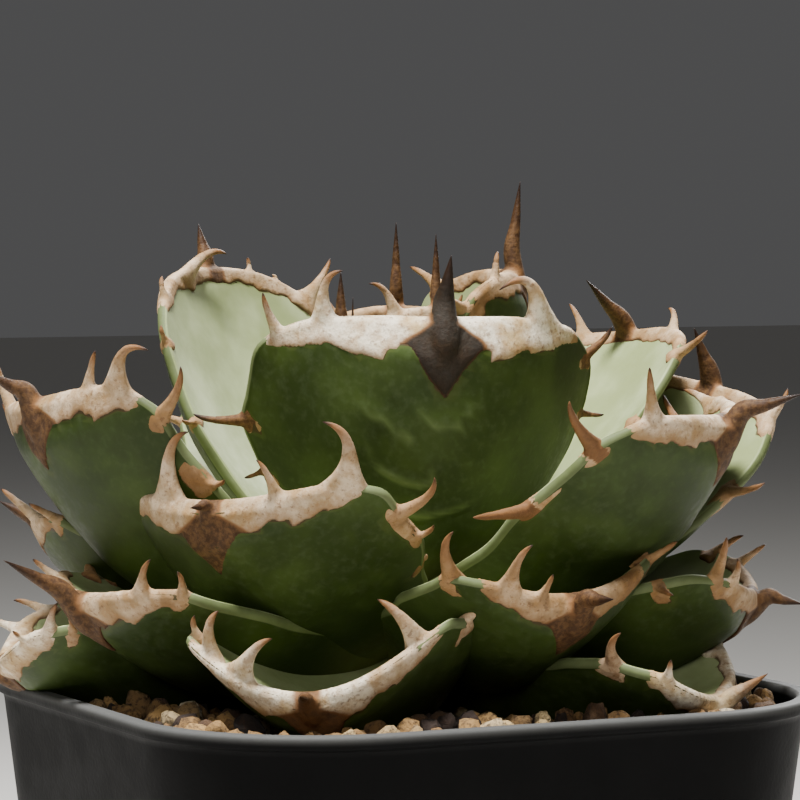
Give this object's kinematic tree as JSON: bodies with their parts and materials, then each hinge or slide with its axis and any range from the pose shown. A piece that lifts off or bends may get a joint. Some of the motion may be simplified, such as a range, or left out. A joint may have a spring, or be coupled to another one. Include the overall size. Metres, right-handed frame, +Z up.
{
  "type": "potted agave",
  "caption": "Compact agave rosette with thick green leaves, horny toothed margins and end spines, in a square black nursery pot filled with grit.",
  "frame": {"origin": "centre of the pot's flat underside", "axes": "+Z up along the pot's axis; X and Y along the pot's two pairs of sides"},
  "size_m": [0.1305, 0.1214, 0.168],
  "materials": {
    "pot_plastic": "satin black moulded plastic, duller on the walls and smoother on the lip",
    "soil": "dark crumbly potting soil",
    "grit": "rough baked clay and pumice grains, ochre to grey",
    "stem": "pale fibrous stem, hidden by the leaves",
    "leaf_flesh": "waxy green flesh with a pale bloom",
    "horny_rim": "dry horn, cream to tan and brown, darker at the spines"
  },
  "bodies": {
    "root": {"pot": "pot_plastic", "soil": "soil", "grit": "grit", "stem": "stem", "leaf_01": "leaf_flesh", "rim_01": "horny_rim", "leaf_02": "leaf_flesh", "rim_02": "horny_rim", "leaf_03": "leaf_flesh", "rim_03": "horny_rim", "leaf_04": "leaf_flesh", "rim_04": "horny_rim", "leaf_05": "leaf_flesh", "rim_05": "horny_rim", "leaf_06": "leaf_flesh", "rim_06": "horny_rim", "leaf_07": "leaf_flesh", "rim_07": "horny_rim", "leaf_08": "leaf_flesh", "rim_08": "horny_rim", "leaf_09": "leaf_flesh", "rim_09": "horny_rim", "leaf_10": "leaf_flesh", "rim_10": "horny_rim", "leaf_11": "leaf_flesh", "rim_11": "horny_rim", "leaf_12": "leaf_flesh", "rim_12": "horny_rim", "leaf_13": "leaf_flesh", "rim_13": "horny_rim", "leaf_14": "leaf_flesh", "rim_14": "horny_rim", "leaf_15": "leaf_flesh", "rim_15": "horny_rim", "leaf_16": "leaf_flesh", "rim_16": "horny_rim", "leaf_17": "leaf_flesh", "rim_17": "horny_rim", "leaf_18": "leaf_flesh", "rim_18": "horny_rim", "leaf_19": "leaf_flesh", "rim_19": "horny_rim", "leaf_20": "leaf_flesh", "rim_20": "horny_rim", "leaf_21": "leaf_flesh", "rim_21": "horny_rim", "leaf_22": "leaf_flesh", "rim_22": "horny_rim", "leaf_23": "leaf_flesh", "rim_23": "horny_rim", "leaf_24": "leaf_flesh", "rim_24": "horny_rim"}
  },
  "joints": []
}
